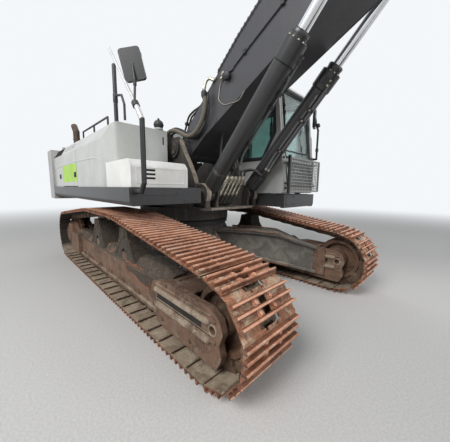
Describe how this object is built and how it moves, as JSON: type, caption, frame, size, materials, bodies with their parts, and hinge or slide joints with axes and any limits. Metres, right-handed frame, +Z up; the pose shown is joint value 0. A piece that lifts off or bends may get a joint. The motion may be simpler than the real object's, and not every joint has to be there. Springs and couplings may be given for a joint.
{
  "type": "crawler excavator",
  "caption": "Crawler excavator with a swinging house, side cab, bent boom, arm and bucket on steel-shoe tracks.",
  "frame": {"origin": "middle of the machine's box, on the ground under the tracks", "axes": "+X forward along the boom, +Y to the machine's left, +Z up"},
  "size_m": [11.9037, 3.0175, 4.7315],
  "materials": {
    "frame_paint": "dusty dark grey paint",
    "bearing_steel": "machined steel",
    "track_frame_paint": "worn paint under dry mud",
    "track_steel": "rusty forged steel",
    "wheel_steel": "dirty cast steel",
    "dark_paint": "satin dark grey paint",
    "weight_paint": "satin grey paint",
    "light_paint": "satin light grey paint",
    "white_paint": "satin white paint",
    "engine_iron": "painted cast iron",
    "exhaust_steel": "heat-darkened steel",
    "rail_paint": "black paint",
    "black_plastic": "grained black plastic",
    "seat_fabric": "dark woven cloth",
    "cab_glass": "clear tinted glass",
    "rod_chrome": "polished chrome",
    "bucket_steel": "scoured steel",
    "hose_rubber": "black rubber"
  },
  "bodies": {
    "undercarriage": {"center_frame": "frame_paint", "swing_bearing": "bearing_steel", "track_frame_right": "track_frame_paint", "track_frame_left": "track_frame_paint", "track_right": "track_steel", "track_left": "track_steel", "idler_right": "wheel_steel", "idler_left": "wheel_steel", "sprocket_right": "wheel_steel", "sprocket_left": "wheel_steel", "rollers_right": "wheel_steel", "rollers_left": "wheel_steel"},
    "house": {"swing_frame": "frame_paint", "deck_right": "dark_paint", "deck_left": "dark_paint", "counterweight": "weight_paint", "engine_block": "engine_iron", "fuel_tank": "light_paint", "toolbox": "white_paint", "house_panels": "light_paint", "exhaust_pipe": "exhaust_steel", "handrails": "rail_paint", "mirrors": "black_plastic", "cab_shell": "light_paint", "cab_glass": "cab_glass", "cab_guard": "weight_paint", "operator_seat": "seat_fabric", "cab_controls": "black_plastic", "boom_hoses": "hose_rubber"},
    "toolbox_lid": {"toolbox_lid": "white_paint"},
    "pump_door": {"pump_door": "light_paint"},
    "radiator_door": {"radiator_door": "light_paint"},
    "engine_hood": {"engine_hood": "light_paint"},
    "cab_door": {"cab_door": "light_paint"},
    "boom": {"boom": "dark_paint"},
    "boom_barrels": {"boom_barrels": "dark_paint"},
    "boom_rods": {"boom_rods": "rod_chrome"},
    "arm": {"arm": "dark_paint"},
    "arm_barrel": {"arm_barrel": "dark_paint"},
    "arm_rod": {"arm_rod": "rod_chrome"},
    "bucket_barrel": {"bucket_barrel": "dark_paint"},
    "bucket_rod": {"bucket_rod": "rod_chrome"},
    "rocker": {"rocker": "dark_paint"},
    "link": {"link": "dark_paint"},
    "bucket": {"bucket": "bucket_steel"}
  },
  "joints": [
    {"name": "swing", "type": "hinge", "parent": "undercarriage", "child": "house", "pos_m": [-2.19189, 0, 1.1], "axis": [0, 0, 1], "continuous": true},
    {"name": "boom_lift", "type": "hinge", "parent": "house", "child": "boom", "pos_m": [-1.74189, 0, 2.03], "axis": [0, -1, 0], "range_deg": [-56, 44], "deforming": ["boom_hoses"]},
    {"name": "boom_barrels_turn", "type": "hinge", "parent": "house", "child": "boom_barrels", "pos_m": [-1.09189, 0, 1.38], "axis": [0, -1, 0], "range_deg": [-57.34, 45.16]},
    {"name": "boom_rods_slide", "type": "slide", "parent": "boom_barrels", "child": "boom_rods", "axis": [0.6612, 0, 0.7502], "range_m": [-0.7876, 0.6199]},
    {"name": "arm_turn", "type": "hinge", "parent": "boom", "child": "arm", "pos_m": [5.03514, 0, 3.78266], "axis": [0, 1, 0], "range_deg": [-104, 10]},
    {"name": "arm_barrel_turn", "type": "hinge", "parent": "boom", "child": "arm_barrel", "pos_m": [1.46803, 0, 4.59541], "axis": [0, 1, 0], "range_deg": [-4.56, 0.89]},
    {"name": "arm_rod_slide", "type": "slide", "parent": "arm_barrel", "child": "arm_rod", "axis": [0.9983, 0, -0.0577], "range_m": [-1.5083, 0.1495]},
    {"name": "bucket_curl", "type": "hinge", "parent": "arm", "child": "bucket", "pos_m": [3.5199, 0, 1.31], "axis": [0, 1, 0], "range_deg": [-58, 115]},
    {"name": "rocker_turn", "type": "hinge", "parent": "arm", "child": "rocker", "pos_m": [3.75695, 0, 1.71597], "axis": [0, 1, 0], "range_deg": [-37.91, 74.67]},
    {"name": "link_turn", "type": "hinge", "parent": "bucket", "child": "link", "pos_m": [3.93369, 0, 1.04756], "axis": [0, 1, 0], "range_deg": [-83.3, 42.26]},
    {"name": "bucket_barrel_turn", "type": "hinge", "parent": "arm", "child": "bucket_barrel", "pos_m": [5.43316, 0, 3.24555], "axis": [0, 1, 0], "range_deg": [-1.54, 2.57]},
    {"name": "bucket_rod_slide", "type": "slide", "parent": "bucket_barrel", "child": "bucket_rod", "axis": [-0.506, 0, -0.8625], "range_m": [-0.4322, 0.852]},
    {"name": "cab_door_turn", "type": "hinge", "parent": "house", "child": "cab_door", "pos_m": [-1.95189, 1.474, 2.2], "axis": [0, 0, 1], "range_deg": [0, 100]},
    {"name": "radiator_door_turn", "type": "hinge", "parent": "house", "child": "radiator_door", "pos_m": [-3.74589, 1.462, 1.8], "axis": [0, 0, 1], "range_deg": [0, 95]},
    {"name": "pump_door_turn", "type": "hinge", "parent": "house", "child": "pump_door", "pos_m": [-4.25589, -1.462, 1.8], "axis": [0, 0, -1], "range_deg": [0, 95]},
    {"name": "toolbox_lid_turn", "type": "hinge", "parent": "house", "child": "toolbox_lid", "pos_m": [-1.73589, -1.115, 1.752], "axis": [0, -1, 0], "range_deg": [0, 60]},
    {"name": "engine_hood_turn", "type": "hinge", "parent": "house", "child": "engine_hood", "pos_m": [-3.15189, 0, 2.262], "axis": [0, 1, 0], "range_deg": [0, 60]}
  ],
  "couplings": [
    {"joint": "boom_barrels_turn", "follows": "boom_lift", "ratio": 1.015},
    {"joint": "boom_rods_slide", "follows": "boom_lift", "m_per_rad": 0.8007},
    {"joint": "arm_barrel_turn", "follows": "arm_turn", "ratio": 0.039},
    {"joint": "arm_rod_slide", "follows": "arm_turn", "m_per_rad": 0.8282},
    {"joint": "rocker_turn", "follows": "bucket_curl", "ratio": 0.645},
    {"joint": "link_turn", "follows": "bucket_curl", "ratio": -0.72},
    {"joint": "bucket_barrel_turn", "follows": "bucket_curl", "ratio": 0.018},
    {"joint": "bucket_rod_slide", "follows": "bucket_curl", "m_per_rad": 0.422}
  ]
}
